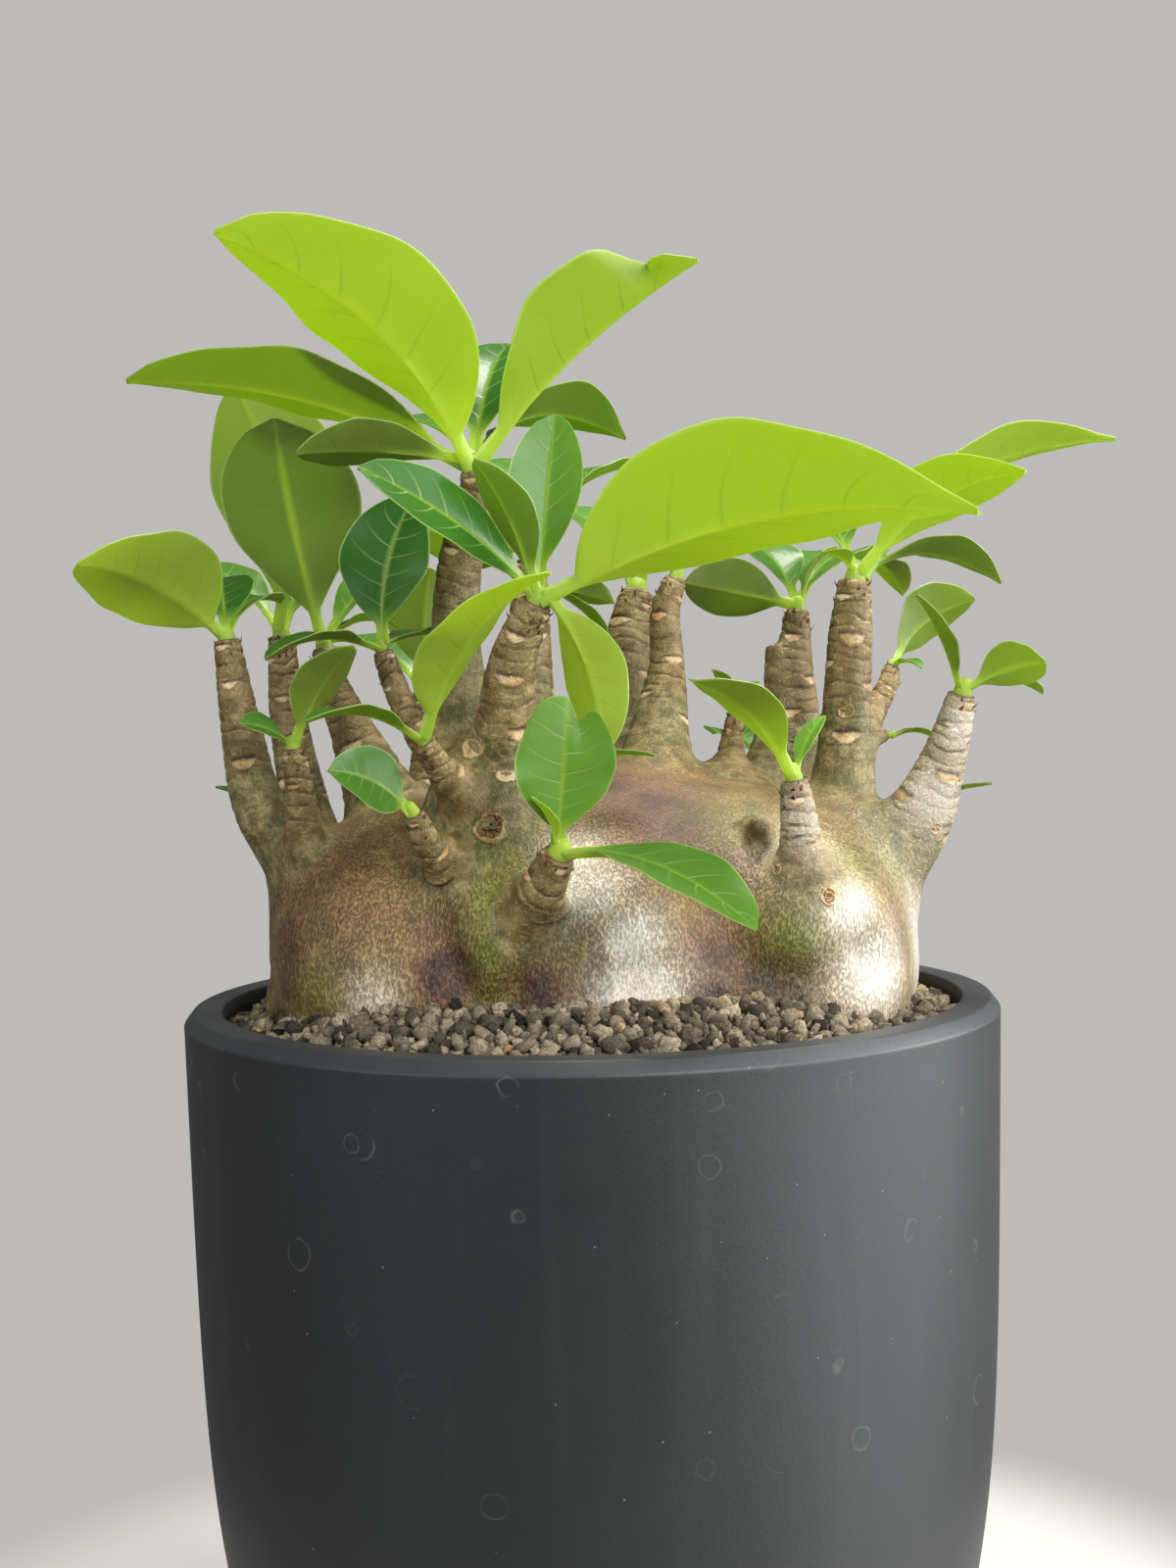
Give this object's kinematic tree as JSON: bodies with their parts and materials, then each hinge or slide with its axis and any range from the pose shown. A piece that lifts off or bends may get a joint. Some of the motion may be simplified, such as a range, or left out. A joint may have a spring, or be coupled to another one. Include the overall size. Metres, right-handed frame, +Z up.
{
  "type": "potted adenium arabicum",
  "caption": "Caudex succulent in a round pot: low swollen base with short ringed branches, each tipped with a rosette of broad leathery leaves.",
  "frame": {"origin": "middle of the pot's base, on the surface that it stands on", "axes": "+Z up along the pot's axis; -Y towards the side that the picture shows"},
  "size_m": [0.1938, 0.1589, 0.2733],
  "materials": {
    "plastic": "matte charcoal, slightly dusty",
    "soil": "loose gritty brown-grey soil with some tan grains",
    "bark": "smooth grey-brown succulent bark with pale cream flecks and ring scars",
    "leaf": "thin, leathery and satin green, yellow-green where light comes through"
  },
  "bodies": {
    "root": {"pot": "plastic", "soil": "soil", "caudex": "bark", "leaves_far_left": "leaf", "leaves_left_back": "leaf", "leaves_left_inner": "leaf", "leaves_left_small": "leaf", "leaves_front_tall": "leaf", "leaves_front_short": "leaf", "leaves_front_twig": "leaf", "leaves_front_spur": "leaf", "leaves_front_sprout": "leaf", "leaves_low_spur": "leaf", "leaves_middle_twig": "leaf", "leaves_back_tall": "leaf", "leaves_centre": "leaf", "leaves_back_thick": "leaf", "leaves_back_right": "leaf", "leaves_right_tall": "leaf", "leaves_right_twig": "leaf", "leaves_right_sprout": "leaf", "leaves_right_arm": "leaf", "leaves_right_low": "leaf", "leaves_stub": "leaf", "leaves_back_left": "leaf", "leaves_back_low": "leaf"}
  },
  "joints": []
}
